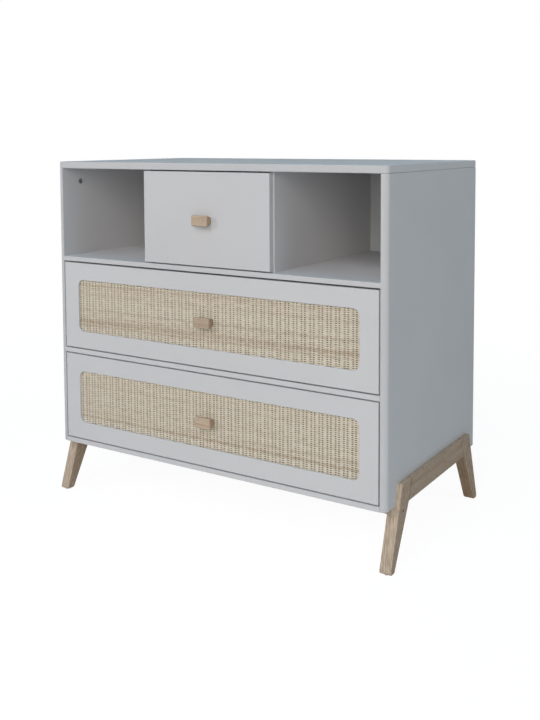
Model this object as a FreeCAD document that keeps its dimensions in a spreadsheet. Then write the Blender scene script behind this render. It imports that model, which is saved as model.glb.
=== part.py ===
import FreeCAD, Part
import os
import re

import Sketcher

# A low chest of drawers: a grey board carcass on two oak leg frames, with two open niches,
# a small plain drawer between them and two wide drawers whose fronts frame a woven panel.
# Millimetres. X runs to the right, the front faces -Y and Z is up from the floor.

SIZES = [
    # Carcass
    ("carcass_width", 970),
    ("carcass_depth", 540),
    ("top_thickness", 18),
    ("side_thickness", 16),
    ("panel_thickness", 12),
    ("niche_height", 235.7),
    ("partition_reveal", 3),
    ("partition_setback", 0.5),
    ("divider_depth", 90),
    ("corner_radius", 13),
    ("top_edge_radius", 3),
    ("rim_radius", 2.5),
    ("edge_radius", 1.2),
    ("back_thickness", 4),
    ("back_inset", 16),
    ("groove_depth", 6),
    ("fit_clearance", 0.3),
    # Leg frames
    ("leg_height", 139),
    ("leg_overlay", 12),
    ("leg_setback", 44),
    ("leg_width", 52),
    ("foot_width", 21.5),
    ("foot_overhang", 2),
    ("frame_height", 50),
    ("joint_lean", 15),
    ("leg_top_radius", 4),
    ("foot_radius", 6),
    ("leg_edge_radius", 2),
    ("cross_rail_height", 24),
    ("cross_rail_thickness", 20),
    ("glide_diameter", 9),
    ("glide_thickness", 1),
    # Drawers
    ("front_gap", 3.2),
    ("shelf_gap", 4.2),
    ("front_thickness", 16),
    ("front_edge_radius", 1.4),
    ("drawer_front_height", 229),
    ("upper_front_height", 228.5),
    ("top_drawer_width", 374),
    ("frame_side_width", 47),
    ("frame_rail_width", 45),
    ("window_radius", 17),
    ("weave_recess", 5),
    ("weave_thickness", 3.4),
    ("rebate_width", 14),
    ("box_depth", 470),
    ("box_height", 160),
    ("box_lift", 14),
    ("box_board", 12),
    ("bottom_thickness", 6),
    ("bottom_lift", 10),
    ("bottom_groove", 5),
    # Knobs
    ("knob_width", 49),
    ("knob_height", 28.5),
    ("knob_depth", 22),
    ("knob_root_width", 41),
    ("knob_root_height", 18),
    ("knob_radius", 3.5),
    ("knob_drop", 2.5),
    ("knob_screw_diameter", 4),
    ("knob_screw_grip", 14),
    ("knob_head_diameter", 9),
    ("knob_head_height", 2.4),
    # Slides
    ("slide_width", 13),
    ("slide_height", 35),
    ("slide_length", 450),
    ("slide_setback", 4),
    ("slide_metal", 1.2),
    ("slide_flange", 9),
    ("slide_clearance", 0.4),
    ("slide_lift", 60),
    # Dowels, cams and screws
    ("dowel_diameter", 6),
    ("dowel_length", 30),
    ("dowel_embed", 8),
    ("dowel_clearance", 0.05),
    ("cam_diameter", 15),
    ("cam_depth", 12),
    ("cam_drop", 37),
    ("cam_setback", 69),
    ("cam_slot_width", 2),
    ("cam_slot_depth", 3),
    ("bolt_diameter", 6),
    ("bolt_embed", 10),
    ("frame_screw_diameter", 4),
    ("frame_screw_length", 24),
    ("frame_head_diameter", 8),
    ("frame_head_height", 2.5),
    ("cross_screw_diameter", 5),
    ("cross_screw_length", 50),
    ("cross_head_diameter", 6.5),
    ("cross_head_height", 3),
    ("back_screw_diameter", 3),
    ("back_screw_length", 16),
    ("back_head_diameter", 7),
    ("back_head_height", 1.6),
]

# Places worked out from the sizes, as text that any expression may use.
# Heights count from the floor, and depths run from the front plane to the back.
PLACES = {
    "half_width": "carcass_width / 2",
    "inner_half": "half_width - side_thickness",
    "front_plane": "-(carcass_depth - knob_depth) / 2",
    "rear_plane": "front_plane + carcass_depth",
    "base_top": "leg_height + panel_thickness",
    "lower_front": "base_top + front_gap",
    "divider_bottom": "lower_front + drawer_front_height + front_gap",
    "upper_front": "divider_bottom + panel_thickness + front_gap",
    "shelf_bottom": "upper_front + upper_front_height + shelf_gap",
    "shelf_top": "shelf_bottom + panel_thickness",
    "top_bottom": "shelf_top + niche_height",
    "side_height": "top_bottom - leg_height",
    "board_depth": "carcass_depth - back_inset - back_thickness",
    "back_half": "inner_half + groove_depth",
    "partition_outer": "top_drawer_width / 2 + partition_reveal",
    "partition_inner": "partition_outer - panel_thickness",
    "partition_front": "front_thickness + partition_setback",
    "partition_depth": "board_depth - partition_front",
    "top_front_height": "niche_height - 2 * front_gap",
    "wide_front_width": "2 * (inner_half - front_gap)",
    "front_back": "front_plane + front_thickness",
    "backing_thickness": "front_thickness - weave_recess - weave_thickness",
    "leg_thickness": "side_thickness + leg_overlay",
    "front_slope": "(leg_setback + foot_overhang) / leg_height",
    "rear_slope": "(leg_setback + leg_width + foot_overhang - foot_width) / leg_height",
    "joint_foot": "leg_setback + leg_width",
    "joint_middle": "joint_foot + joint_lean / 2",
    "cross_drop": "cross_rail_height / 2",
    "cross_middle": "(leg_setback + joint_foot - (front_slope + rear_slope) * cross_drop) / 2",
    "slide_inner_height": "slide_height - 2 * (slide_metal + slide_clearance)",
    "lap_middle": "half_width + leg_overlay / 2",
    "lap_screw_depth": "(leg_setback + joint_middle + front_slope * frame_height / 2) / 2",
    "bolt_drop": "cam_drop - cam_diameter / 2",
}

# Shares of a board's depth, width or height at which its dowels and screws lie.
DOWEL_SHARES = (0.25, 0.75)
BACK_SCREW_SHARES = (-0.85, -0.43, 0.0, 0.43, 0.85)
RAIL_SCREW_SHARES = (0.35, 0.65)

# The boards that lie between the side panels: each one's depth and the height of its underside.
SHELVES = (
    ("base_panel", "board_depth", "leg_height"),
    ("drawer_divider", "divider_depth", "divider_bottom"),
    ("niche_shelf", "board_depth", "shelf_bottom"),
)

# Depths of the cams that hold the top, and of the screws from inside the carcass into a leg
# frame, one into each leg's lap and two into the rail. Heights of the back panel's screws.
CAM_DEPTHS = ("cam_setback", "carcass_depth - cam_setback")
FRAME_SCREW_DEPTHS = (
    "lap_screw_depth",
    "%s * carcass_depth" % RAIL_SCREW_SHARES[0],
    "%s * carcass_depth" % RAIL_SCREW_SHARES[1],
    "carcass_depth - lap_screw_depth",
)
BACK_SCREW_HEIGHTS = ("leg_height + panel_thickness / 2", "shelf_bottom + panel_thickness / 2")

# Longest distance at which an edge still counts as lying at a place.
NEAR = 0.001

# Which way a straight piece points from its place.
TURNS = {
    "+x": FreeCAD.Rotation(FreeCAD.Vector(0, 1, 0), 90),
    "-x": FreeCAD.Rotation(FreeCAD.Vector(0, 1, 0), -90),
    "+y": FreeCAD.Rotation(FreeCAD.Vector(1, 0, 0), -90),
    "-y": FreeCAD.Rotation(FreeCAD.Vector(1, 0, 0), 90),
    "+z": FreeCAD.Rotation(),
    "-z": FreeCAD.Rotation(FreeCAD.Vector(1, 0, 0), 180),
}

doc = FreeCAD.newDocument("rattan_chest")
sheet = doc.addObject("Spreadsheet::Sheet", "sizes")
for row, (alias, size) in enumerate(SIZES, 1):
    sheet.set("A%d" % row, alias)
    sheet.set("B%d" % row, str(size))
    sheet.setAlias("B%d" % row, alias)
doc.recompute()
ALIASES = {alias for alias, size in SIZES}
sub_parts = []


def expand(text):
    """The expression behind a text of size and place names."""
    def word(match):
        name = match.group(0)
        if name in PLACES:
            return "(" + expand(PLACES[name]) + ")"
        if name in ALIASES:
            return "sizes." + name
        return name
    return re.sub(r"[A-Za-z_]\w*", word, text)


def value(text):
    return float(sheet.evalExpression(expand(text)))


def bind(thing, field, text):
    thing.setExpression(field, expand(text))


def put(thing, x="0", y="0", z="0"):
    """Holds a sub-part at a place that follows the sizes."""
    bind(thing, "Placement.Base.x", x)
    bind(thing, "Placement.Base.y", y)
    bind(thing, "Placement.Base.z", z)


def new_body(label, x="0", y="0", z="0"):
    body = doc.addObject("PartDesign::Body", label)
    body.Label = label
    body.AllowCompound = True
    put(body, x, y, z)
    sub_parts.append(body)
    return body


def new_sketch(body, plane, offset="0"):
    """An empty sketch on one of the body's own origin planes, moved along its normal."""
    planes = {feature.Role: feature for feature in body.Origin.OriginFeatures}
    sketch = body.newObject("Sketcher::SketchObject", body.Name + "_sketch")
    sketch.AttachmentSupport = [(planes[plane], "")]
    sketch.MapMode = "FlatFace"
    bind(sketch, "AttachmentOffset.Base.z", offset)
    return sketch


def hold_point(sketch, geometry, end, across, up):
    """Fixes a point of the sketch by its distances from the origin."""
    for kind, text in (("DistanceX", across), ("DistanceY", up)):
        point = Sketcher.Constraint(kind, -1, 1, geometry, end, value(text))
        number = sketch.addConstraint(point)
        bind(sketch, "Constraints[%d]" % number, text)


def add_outline(sketch, corners):
    """A closed outline of straight lines through the corners."""
    first = sketch.GeometryCount
    count = len(corners)
    points = [FreeCAD.Vector(value(across), value(up), 0) for across, up in corners]
    for index in range(count):
        line = Part.LineSegment(points[index], points[(index + 1) % count])
        sketch.addGeometry(line, False)
    for index, (across, up) in enumerate(corners):
        following = first + (index + 1) % count
        sketch.addConstraint(Sketcher.Constraint("Coincident", first + index, 2, following, 1))
        hold_point(sketch, first + index, 1, across, up)


def add_box_outline(sketch, low_x, high_x, low_y, high_y):
    add_outline(sketch, [(low_x, low_y), (high_x, low_y), (high_x, high_y), (low_x, high_y)])


def add_circle(sketch, diameter, across, up):
    centre = FreeCAD.Vector(value(across), value(up), 0)
    circle = Part.Circle(centre, FreeCAD.Vector(0, 0, 1), value(diameter) / 2)
    number = sketch.addGeometry(circle, False)
    size = sketch.addConstraint(Sketcher.Constraint("Diameter", number, value(diameter)))
    bind(sketch, "Constraints[%d]" % size, diameter)
    hold_point(sketch, number, 3, across, up)


def pad(body, sketch, length, against=False):
    """Pads the sketch along its plane's normal, or against it."""
    feature = body.newObject("PartDesign::Pad", body.Name + "_pad")
    feature.Profile = sketch
    bind(feature, "Length", length)
    feature.Reversed = against
    doc.recompute()


def pocket(body, sketch, depth, along=False):
    """Cuts the sketch against its plane's normal, or along it, and checks that it removed wood."""
    before = body.Tip.Shape.Volume
    feature = body.newObject("PartDesign::Pocket", body.Name + "_pocket")
    feature.Profile = sketch
    bind(feature, "Length", depth)
    feature.Reversed = along
    doc.recompute()
    if feature.Shape.isNull() or feature.Shape.Volume >= before:
        raise RuntimeError("nothing was cut from " + body.Label)


def edges_at(shape, lines):
    """Names of the edges whose ends all lie at one of the given places."""
    names = []
    for number, edge in enumerate(shape.Edges, 1):
        for line in lines:
            ends = [abs(getattr(end.Point, axis) - value(text)) for end in edge.Vertexes
                    for axis, text in line.items()]
            if max(ends) < NEAR:
                names.append("Edge%d" % number)
                break
    return names


def fillet(body, radius, *lines):
    """Rounds the edges that lie at the given places."""
    before = body.Tip
    names = edges_at(before.Shape, lines)
    feature = body.newObject("PartDesign::Fillet", body.Name + "_round")
    feature.Base = (before, names)
    bind(feature, "Radius", radius)
    doc.recompute()


def cylinder(name, diameter, length, turn, x, y, z):
    """A round rod that points from its place in one of the six directions."""
    rod = doc.addObject("Part::Cylinder", name)
    rod.Placement = FreeCAD.Placement(FreeCAD.Vector(), TURNS[turn])
    bind(rod, "Radius", "(" + diameter + ") / 2")
    bind(rod, "Height", length)
    put(rod, x, y, z)
    return rod


def screw(name, kind, length, turn, x, y, z):
    """A flat-headed screw whose head bears at its place, pointing in one direction."""
    opposite = {"+": "-", "-": "+"}[turn[0]] + turn[1]
    shank = cylinder(name + "_shank", kind + "_screw_diameter", length, turn, x, y, z)
    head = cylinder(name + "_head", kind + "_head_diameter", kind + "_head_height",
                    opposite, x, y, z)
    whole = doc.addObject("Part::Fuse", name)
    whole.Base = head
    whole.Tool = shank
    return whole


def group(label, pieces):
    """Equal small pieces that share one sub-part as separate solids."""
    together = doc.addObject("Part::Compound", label)
    together.Label = label
    together.Links = pieces
    sub_parts.append(together)


def sided(side, text):
    """The text itself on the right of the chest, its negative on the left."""
    return text if side > 0 else "-(" + text + ")"


def span(side, low, high):
    """Two places in rising order after mirroring to one side."""
    ends = [sided(side, low), sided(side, high)]
    return ends if side > 0 else ends[::-1]


def inwards(end, depth):
    """Y at a depth inwards from the carcass's front face, or from its rear face."""
    return "front_plane + (%s)" % depth if end > 0 else "rear_plane - (%s)" % depth


SIDES = ((-1, "left"), (1, "right"))
ENDS = ((1, "front"), (-1, "rear"))

# The end whose legs carry the cross rail, under the open edge of the carcass.
CROSS_END, CROSS_WORD = ENDS[0]


# Top board: overlies the side panels, with the same outline as they have.
def make_top_panel():
    body = new_body("top_panel", z="top_bottom")
    outline = new_sketch(body, "XY_Plane")
    add_box_outline(outline, "-half_width", "half_width", "front_plane", "rear_plane")
    pad(body, outline, "top_thickness")
    fillet(body, "corner_radius", dict(x="half_width", y="front_plane"),
           dict(x="-half_width", y="front_plane"))
    fillet(body, "top_edge_radius", dict(x="half_width", y="rear_plane"),
           dict(x="-half_width", y="rear_plane"))
    fillet(body, "top_edge_radius", dict(z="top_thickness"))
    fillet(body, "rim_radius", dict(z="0"))
    groove = new_sketch(body, "XY_Plane")
    add_box_outline(groove, "-back_half", "back_half", "front_plane + board_depth",
                    "front_plane + board_depth + back_thickness + fit_clearance")
    pocket(body, groove, "groove_depth", along=True)
    dowels = new_sketch(body, "XY_Plane")
    bolts = new_sketch(body, "XY_Plane")
    for side, word in SIDES:
        for share in DOWEL_SHARES:
            add_circle(dowels, "dowel_diameter + 2 * dowel_clearance",
                       sided(side, "partition_inner + panel_thickness / 2"),
                       partition_dowel_depth(share))
        for depth in CAM_DEPTHS:
            add_circle(bolts, "bolt_diameter + 2 * dowel_clearance",
                       sided(side, "inner_half + side_thickness / 2"), "front_plane + " + depth)
    pocket(body, dowels, "dowel_embed + fit_clearance", along=True)
    pocket(body, bolts, "bolt_embed + fit_clearance", along=True)


def partition_dowel_depth(share):
    """Y of a partition's dowel at a share of the partition's depth."""
    return "front_plane + partition_front + %s * partition_depth" % share


# Side panel: a wide round on its outer front edge, a groove for the back panel, and bores
# in its inner face for the boards' dowels, the cams and the leg frame's screws.
def make_side_panel(side, word):
    body = new_body(word + "_side_panel", sided(side, "inner_half"), "front_plane", "leg_height")
    outer = sided(side, "side_thickness")
    outline = new_sketch(body, "XY_Plane")
    add_box_outline(outline, *span(side, "0", "side_thickness"), "0", "carcass_depth")
    pad(body, outline, "side_height")
    fillet(body, "corner_radius", dict(x=outer, y="0"))
    fillet(body, "edge_radius", dict(x="0", y="0"), dict(x=outer, y="carcass_depth"))
    rims = [dict(x=outer, z=end) for end in ("0", "side_height")]
    fillet(body, "rim_radius", *rims)
    groove = new_sketch(body, "XY_Plane")
    add_box_outline(groove, *span(side, "0", "groove_depth"), "board_depth",
                    "board_depth + back_thickness + fit_clearance")
    pocket(body, groove, "side_height", along=True)
    dowels = new_sketch(body, "YZ_Plane")
    for name, depth, bottom in SHELVES:
        for share in DOWEL_SHARES:
            add_circle(dowels, "dowel_diameter + 2 * dowel_clearance", "%s * %s" % (share, depth),
                       bottom + " - leg_height + panel_thickness / 2")
    pocket(body, dowels, "dowel_embed + fit_clearance", along=side > 0)
    cams = new_sketch(body, "YZ_Plane")
    bolts = new_sketch(body, "XY_Plane", "side_height")
    for depth in CAM_DEPTHS:
        add_circle(cams, "cam_diameter", depth, "side_height - cam_drop")
        add_circle(bolts, "bolt_diameter + 2 * dowel_clearance",
                   sided(side, "side_thickness / 2"), depth)
    pocket(body, cams, "cam_depth + fit_clearance", along=side > 0)
    pocket(body, bolts, "cam_drop")
    screws = new_sketch(body, "YZ_Plane")
    for depth in FRAME_SCREW_DEPTHS:
        add_circle(screws, "frame_screw_diameter + 2 * dowel_clearance", depth, "frame_height / 2")
    pocket(body, screws, "side_thickness", along=side > 0)


# A board between the sides, with its front edge showing and dowel bores in both ends.
def make_shelf(label, depth, bottom):
    body = new_body(label, "0", "front_plane", bottom)
    outline = new_sketch(body, "XY_Plane")
    add_box_outline(outline, "-inner_half", "inner_half", "0", depth)
    pad(body, outline, "panel_thickness")
    fillet(body, "edge_radius", dict(y="0", z="0"), dict(y="0", z="panel_thickness"))
    for side, word in SIDES:
        ends = new_sketch(body, "YZ_Plane", sided(side, "inner_half"))
        for share in DOWEL_SHARES:
            add_circle(ends, "dowel_diameter + 2 * dowel_clearance", "%s * %s" % (share, depth),
                       "panel_thickness / 2")
        pocket(body, ends, "dowel_length - dowel_embed + fit_clearance", along=side < 0)
    if depth == "board_depth":
        rear = new_sketch(body, "XZ_Plane", "-(" + depth + ")")
        for share in BACK_SCREW_SHARES:
            add_circle(rear, "back_screw_diameter + 2 * dowel_clearance",
                       "%s * inner_half" % share, "panel_thickness / 2")
        pocket(body, rear, "back_screw_length - back_thickness + fit_clearance", along=True)
    if label == "niche_shelf":
        bores = new_sketch(body, "XY_Plane", "panel_thickness")
        for side, word in SIDES:
            for share in DOWEL_SHARES:
                add_circle(bores, "dowel_diameter + 2 * dowel_clearance",
                           sided(side, "partition_inner + panel_thickness / 2"),
                           "partition_front + %s * partition_depth" % share)
        pocket(body, bores, "dowel_embed + fit_clearance")


# Partition beside the small drawer: stands on the shelf, set back behind the drawer's front.
def make_partition(side, word):
    body = new_body(word + "_partition", sided(side, "partition_inner"),
                    "front_plane + partition_front", "shelf_top")
    outline = new_sketch(body, "XY_Plane")
    add_box_outline(outline, *span(side, "0", "panel_thickness"), "0", "partition_depth")
    pad(body, outline, "niche_height")
    fillet(body, "edge_radius", dict(x=sided(side, "panel_thickness"), y="0"), dict(x="0", y="0"))
    for height, upward in (("0", True), ("niche_height", False)):
        bores = new_sketch(body, "XY_Plane", height)
        for share in DOWEL_SHARES:
            add_circle(bores, "dowel_diameter + 2 * dowel_clearance",
                       sided(side, "panel_thickness / 2"), "%s * partition_depth" % share)
        pocket(body, bores, "dowel_length - dowel_embed + fit_clearance", along=upward)


# Back panel: a thin board that stands in the grooves of the sides and the top.
def make_back_panel():
    body = new_body("back_panel", "0", "front_plane + board_depth", "leg_height")
    outline = new_sketch(body, "XZ_Plane")
    add_box_outline(outline, "-(back_half - fit_clearance)", "back_half - fit_clearance",
                    "0", "side_height + groove_depth - fit_clearance")
    pad(body, outline, "back_thickness", against=True)
    holes = new_sketch(body, "XZ_Plane")
    for height in BACK_SCREW_HEIGHTS:
        for share in BACK_SCREW_SHARES:
            add_circle(holes, "back_screw_diameter + 2 * dowel_clearance",
                       "%s * inner_half" % share, height + " - leg_height")
    pocket(body, holes, "back_thickness")


# Leg: leans out towards its foot and tapers, and is lapped so that its outer part overlies the
# side panel while its full thickness stands under it. Depths run inwards from the carcass's face.
def make_leg(side, word, end, end_word):
    body = new_body("%s_%s_leg" % (end_word, word), sided(side, "inner_half"), inwards(end, "0"),
                    "leg_height")
    foot = "glide_thickness - leg_height"
    corners = [
        ("-foot_overhang + front_slope * glide_thickness", foot),
        ("leg_setback + front_slope * frame_height", "frame_height"),
        ("joint_foot + joint_lean", "frame_height"),
        ("joint_foot", "0"),
        ("foot_width - foot_overhang + rear_slope * glide_thickness", foot),
    ]
    outline = new_sketch(body, "YZ_Plane")
    add_outline(outline, [(sided(end, depth), height) for depth, height in corners])
    pad(body, outline, "leg_thickness", against=side < 0)
    notch = new_sketch(body, "YZ_Plane")
    add_box_outline(notch, *span(end, "0", "joint_foot + 2 * joint_lean"), "0", "2 * frame_height")
    pocket(body, notch, "side_thickness", along=side > 0)
    places = [(sided(end, depth), height) for depth, height in corners]
    fillet(body, "leg_top_radius", dict(y=places[1][0], z=places[1][1]))
    fillet(body, "foot_radius", dict(y=places[0][0], z=places[0][1]),
           dict(y=places[4][0], z=places[4][1]), dict(x="0", z=foot))
    fillet(body, "leg_edge_radius", dict(x=sided(side, "leg_thickness")))
    dowels = new_sketch(body, "XZ_Plane", sided(-end, "joint_middle - dowel_length / 2 - fit_clearance"))
    for share in DOWEL_SHARES:
        add_circle(dowels, "dowel_diameter + 2 * dowel_clearance",
                   sided(side, "side_thickness + leg_overlay / 2"), "%s * frame_height" % share)
    pocket(body, dowels, "dowel_length", along=end < 0)
    screw_bore = new_sketch(body, "YZ_Plane", sided(side, "side_thickness"))
    add_circle(screw_bore, "frame_screw_diameter + 2 * dowel_clearance",
               sided(end, "lap_screw_depth"), "frame_height / 2")
    pocket(body, screw_bore, "frame_screw_length - side_thickness + fit_clearance", along=side > 0)
    if end != CROSS_END:
        return
    through = new_sketch(body, "YZ_Plane")
    add_circle(through, "cross_screw_diameter + 2 * dowel_clearance",
               sided(end, "cross_middle"), "-cross_drop")
    pocket(body, through, "leg_thickness", along=side > 0)
    sunk = new_sketch(body, "YZ_Plane", sided(side, "leg_thickness"))
    add_circle(sunk, "cross_head_diameter + 2 * fit_clearance", sided(end, "cross_middle"), "-cross_drop")
    pocket(body, sunk, "cross_head_height", along=side < 0)


# Rail of a leg frame: runs between the legs' laps on the outer face of the side panel.
def make_leg_rail(side, word):
    body = new_body(word + "_leg_rail", sided(side, "half_width"), "front_plane", "leg_height")
    outline = new_sketch(body, "YZ_Plane")
    add_outline(outline, [
        ("joint_foot", "0"),
        ("joint_foot + joint_lean", "frame_height"),
        ("carcass_depth - joint_foot - joint_lean", "frame_height"),
        ("carcass_depth - joint_foot", "0"),
    ])
    pad(body, outline, "leg_overlay", against=side < 0)
    fillet(body, "leg_edge_radius", dict(x=sided(side, "leg_overlay")))
    for end, end_word in ENDS:
        inner_end = "joint_middle + dowel_length / 2 + fit_clearance"
        depth = inner_end if end > 0 else "carcass_depth - (" + inner_end + ")"
        dowels = new_sketch(body, "XZ_Plane", "-(" + depth + ")")
        for share in DOWEL_SHARES:
            add_circle(dowels, "dowel_diameter + 2 * dowel_clearance",
                       sided(side, "leg_overlay / 2"), "%s * frame_height" % share)
        pocket(body, dowels, "dowel_length", along=end > 0)
    screws = new_sketch(body, "YZ_Plane")
    for share in RAIL_SCREW_SHARES:
        add_circle(screws, "frame_screw_diameter + 2 * dowel_clearance",
                   "%s * carcass_depth" % share, "frame_height / 2")
    pocket(body, screws, "frame_screw_length - side_thickness + fit_clearance", along=side > 0)


# Cross rail: ties the left and right front legs together under the base panel.
def make_cross_rail():
    body = new_body(CROSS_WORD + "_cross_rail", "0", inwards(CROSS_END, "cross_middle"),
                    "leg_height - cross_rail_height")
    outline = new_sketch(body, "XY_Plane")
    add_box_outline(outline, "-inner_half", "inner_half",
                    "-cross_rail_thickness / 2", "cross_rail_thickness / 2")
    pad(body, outline, "cross_rail_height")
    low_edges = [dict(y=rim, z="0") for rim in ("-cross_rail_thickness / 2", "cross_rail_thickness / 2")]
    fillet(body, "edge_radius", *low_edges)
    for side, word in SIDES:
        bore = new_sketch(body, "YZ_Plane", sided(side, "inner_half"))
        add_circle(bore, "cross_screw_diameter + 2 * dowel_clearance", "0", "cross_drop")
        pocket(body, bore, "cross_screw_length", along=side < 0)


# Fasteners of the carcass and the leg frames, and the glides under the feet.
def make_fasteners():
    dowels, cams, bolts, frame_screws, cross_screws, glides = [], [], [], [], [], []
    for side, word in SIDES:
        across = "+x" if side > 0 else "-x"
        towards_middle = "-x" if side > 0 else "+x"
        for name, depth, bottom in SHELVES:
            for count, share in enumerate(DOWEL_SHARES):
                dowels.append(cylinder(
                    "%s_%s_dowel_%d" % (word, name, count), "dowel_diameter", "dowel_length", towards_middle,
                    sided(side, "inner_half + dowel_embed"),
                    "front_plane + %s * %s" % (share, depth), bottom + " + panel_thickness / 2"))
        for count, share in enumerate(DOWEL_SHARES):
            for place, turn, height in (("low", "+z", "shelf_top - dowel_embed"),
                                        ("high", "-z", "top_bottom + dowel_embed")):
                dowels.append(cylinder(
                    "%s_partition_%s_dowel_%d" % (word, place, count), "dowel_diameter",
                    "dowel_length", turn, sided(side, "partition_inner + panel_thickness / 2"),
                    partition_dowel_depth(share), height))
            for end, end_word in ENDS:
                dowels.append(cylinder(
                    "%s_%s_joint_dowel_%d" % (end_word, word, count), "dowel_diameter",
                    "dowel_length", "+y" if end > 0 else "-y", sided(side, "lap_middle"),
                    inwards(end, "joint_middle - dowel_length / 2"),
                    "leg_height + %s * frame_height" % share))
        for count, depth in enumerate(CAM_DEPTHS):
            cams.append(make_cam("%s_cam_%d" % (word, count), side, across, depth))
            bolts.append(cylinder(
                "%s_bolt_%d" % (word, count), "bolt_diameter",
                "bolt_embed + bolt_drop - fit_clearance", "-z",
                sided(side, "inner_half + side_thickness / 2"), "front_plane + " + depth,
                "top_bottom + bolt_embed"))
        for count, depth in enumerate(FRAME_SCREW_DEPTHS):
            frame_screws.append(screw(
                "%s_frame_screw_%d" % (word, count), "frame", "frame_screw_length", across,
                sided(side, "inner_half"), "front_plane + " + depth, "leg_height + frame_height / 2"))
        cross_screws.append(screw(
            "%s_cross_screw" % word, "cross", "cross_screw_length", towards_middle,
            sided(side, "half_width + leg_overlay - cross_head_height"),
            inwards(CROSS_END, "cross_middle"), "leg_height - cross_drop"))
        for end, end_word in ENDS:
            glides.append(cylinder(
                "%s_%s_glide" % (end_word, word), "glide_diameter", "glide_thickness", "+z",
                sided(side, "inner_half + leg_thickness / 2"),
                inwards(end, "foot_width / 2 - foot_overhang"), "0"))
    group("wood_dowels", dowels)
    group("cam_locks", cams)
    group("cam_bolts", bolts)
    group("leg_frame_screws", frame_screws)
    group("cross_rail_screws", cross_screws)
    group("foot_glides", glides)
    group("back_panel_screws", [
        screw("back_screw_%d_%d" % (row, count), "back", "back_screw_length", "-y",
              "%s * inner_half" % share, "front_plane + board_depth + back_thickness", height)
        for row, height in enumerate(BACK_SCREW_HEIGHTS)
        for count, share in enumerate(BACK_SCREW_SHARES)])


# Cam lock: a round housing flush in the side panel's inner face, with a driver slot.
def make_cam(name, side, across, depth):
    x = sided(side, "inner_half + fit_clearance")
    y = "front_plane + " + depth
    z = "top_bottom - cam_drop"
    housing = cylinder(name + "_housing", "cam_diameter - 2 * dowel_clearance",
                       "cam_depth - fit_clearance", across, x, y, z)
    slot = doc.addObject("Part::Box", name + "_slot")
    bind(slot, "Length", "2 * cam_slot_depth")
    bind(slot, "Width", "cam_diameter / 2")
    bind(slot, "Height", "cam_slot_width")
    put(slot, x + " - cam_slot_depth", y + " - cam_diameter / 4", z + " - cam_slot_width / 2")
    cam = doc.addObject("Part::Cut", name)
    cam.Base = housing
    cam.Tool = slot
    return cam


# Front of a drawer: its back face stands on the body's own XZ plane and its front faces -Y.
def make_front(name, width, height, bottom, framed):
    body = new_body(name + "_front", "0", "front_back", bottom)
    half = "(" + width + ") / 2"
    outline = new_sketch(body, "XZ_Plane")
    add_box_outline(outline, "-" + half, half, "0", height)
    pad(body, outline, "front_thickness")
    if framed:
        window = new_sketch(body, "XZ_Plane")
        window_half = half + " - frame_side_width"
        add_box_outline(window, "-(" + window_half + ")", window_half,
                        "frame_rail_width", height + " - frame_rail_width")
        pocket(body, window, "front_thickness", along=True)
        fillet(body, "window_radius", *[
            dict(x=x, z=z) for x in ("-(" + window_half + ")", window_half)
            for z in ("frame_rail_width", height + " - frame_rail_width")])
    fillet(body, "front_edge_radius", dict(y="-front_thickness"))
    if framed:
        rebate = new_sketch(body, "XZ_Plane")
        rebate_half = window_half + " + rebate_width"
        add_box_outline(rebate, "-(" + rebate_half + ")", rebate_half,
                        "frame_rail_width - rebate_width",
                        height + " - frame_rail_width + rebate_width")
        pocket(body, rebate, "front_thickness - weave_recess", along=True)
        make_infill(name, "_rattan_panel", window_half, height, bottom, "front_plane + weave_recess",
                    "weave_thickness")
        make_infill(name, "_backing_board", window_half, height, bottom,
                    "front_plane + weave_recess + weave_thickness", "backing_thickness")
    else:
        bore = new_sketch(body, "XZ_Plane")
        add_circle(bore, "knob_screw_diameter + 2 * dowel_clearance", "0", height + " / 2 - knob_drop")
        pocket(body, bore, "front_thickness", along=True)


# A board in the rebate of a framed front: the woven panel, or the board that backs it.
def make_infill(name, ending, window_half, height, bottom, front, thickness):
    body = new_body(name + ending, "0", front, bottom)
    half = window_half + " + rebate_width - fit_clearance"
    low = "frame_rail_width - rebate_width + fit_clearance"
    outline = new_sketch(body, "XZ_Plane")
    add_box_outline(outline, "-(" + half + ")", half, low, height + " - (" + low + ")")
    pad(body, outline, thickness, against=True)
    bore = new_sketch(body, "XZ_Plane")
    add_circle(bore, "knob_screw_diameter + 2 * dowel_clearance", "0", height + " / 2 - knob_drop")
    pocket(body, bore, thickness)


# Drawer box: two sides with a groove for the bottom, a back between them, and the bottom board,
# all behind the front.
def make_box(name, half, bottom):
    lift = bottom + " + box_lift"
    for side, word in SIDES:
        body = new_body("%s_%s_side" % (name, word), sided(side, half + " - box_board"),
                        "front_back", lift)
        outline = new_sketch(body, "XY_Plane")
        add_box_outline(outline, *span(side, "0", "box_board"), "0", "box_depth")
        pad(body, outline, "box_height")
        rims = [dict(x=x, z="box_height") for x in ("0", sided(side, "box_board"))]
        fillet(body, "edge_radius", *rims)
        groove = new_sketch(body, "YZ_Plane")
        add_box_outline(groove, "0", "box_depth", "bottom_lift",
                        "bottom_lift + bottom_thickness + fit_clearance")
        pocket(body, groove, "bottom_groove", along=side > 0)
    inner = "(" + half + " - box_board)"
    back = new_body(name + "_back", "0", "front_back + box_depth - box_board", lift)
    outline = new_sketch(back, "XY_Plane", "bottom_lift + bottom_thickness + fit_clearance")
    add_box_outline(outline, "-" + inner, inner, "0", "box_board")
    pad(back, outline, "box_height - bottom_lift - bottom_thickness - fit_clearance")
    fillet(back, "edge_radius", dict(y="0", z="box_height"), dict(y="box_board", z="box_height"))
    floor = new_body(name + "_bottom", "0", "front_back", lift + " + bottom_lift")
    outline = new_sketch(floor, "XY_Plane")
    floor_half = inner + " + bottom_groove - fit_clearance"
    add_box_outline(outline, "-(" + floor_half + ")", floor_half, "0", "box_depth")
    pad(floor, outline, "bottom_thickness")


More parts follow.
